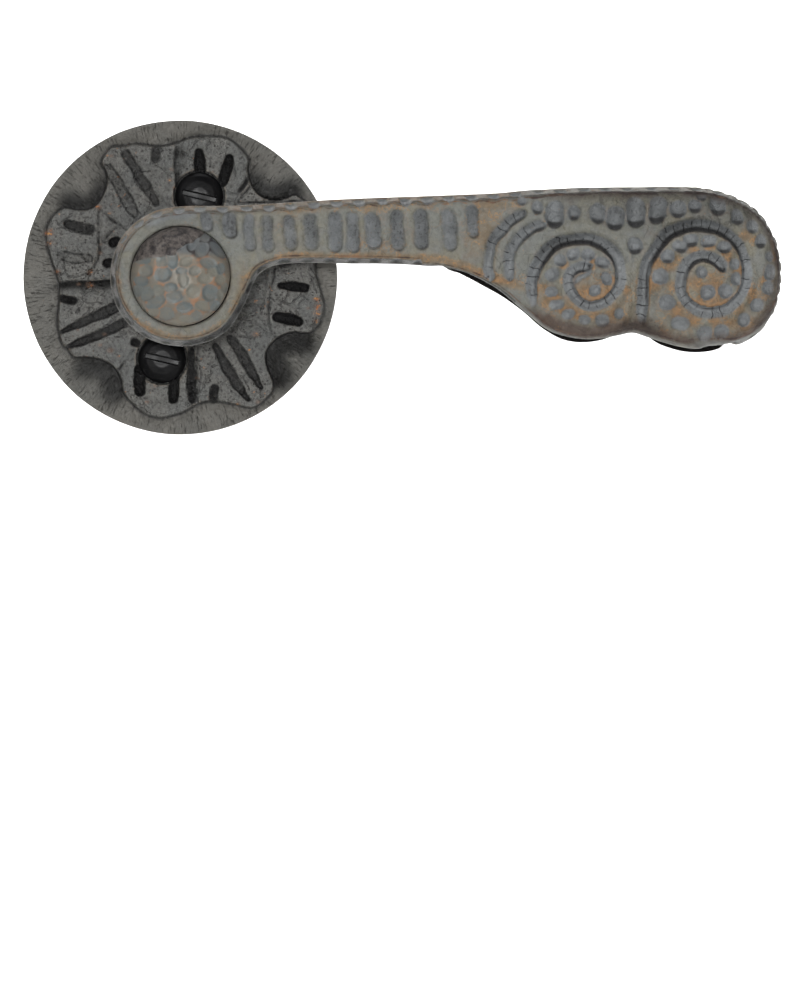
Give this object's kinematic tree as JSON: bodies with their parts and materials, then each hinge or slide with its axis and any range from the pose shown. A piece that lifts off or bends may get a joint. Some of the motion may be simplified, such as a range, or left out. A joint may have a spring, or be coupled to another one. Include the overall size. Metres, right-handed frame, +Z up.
{
  "type": "door lever handle",
  "caption": "Cast scroll lever on a waisted square shank, turning in a sprung round rose that slotted screws hold to the door, with a square spindle through to the latch.",
  "frame": {"origin": "centre of the rose's back face, on the spindle axis", "axes": "+X along the lever towards its scrolled tip, +Y into the door along the spindle, +Z up the door"},
  "size_m": [0.1482, 0.1294, 0.065],
  "materials": {
    "cast_rose": "dark patinated cast bronze, grainy, worn to copper on the high edges",
    "cast_lever": "dark patinated cast bronze, hand-worn satin, copper on the ridges",
    "bush_bronze": "machined bearing bronze",
    "nylon": "natural nylon",
    "zinc_steel": "zinc plated",
    "spring_steel": "oiled spring steel",
    "black_screw": "gloss black"
  },
  "bodies": {
    "rose_body": {"rose": "cast_rose", "bearing_bush": "bush_bronze", "wear_ring": "nylon", "spring_cup": "zinc_steel", "cassette_cover": "zinc_steel", "stop_pins": "spring_steel", "return_spring": "spring_steel", "cassette_screws": "zinc_steel", "fixing_screws": "black_screw"},
    "lever_body": {"lever_arm": "cast_lever", "shank": "cast_lever", "domed_cap": "cast_lever", "arm_screw": "zinc_steel", "lock_washer": "spring_steel", "thrust_washer": "spring_steel", "wave_washer": "spring_steel", "spring_cam": "spring_steel", "circlip": "spring_steel", "spindle": "zinc_steel", "grub_screw": "black_screw"}
  },
  "joints": [
    {"name": "lever_turn", "type": "hinge", "parent": "rose_body", "child": "lever_body", "pos_m": [0, 0, 0], "axis": [0, 1, 0], "range_deg": [0, 42], "stiffness_Nm_per_rad": 0.37, "springref_deg": -68.75, "deforming": ["return_spring"]}
  ]
}
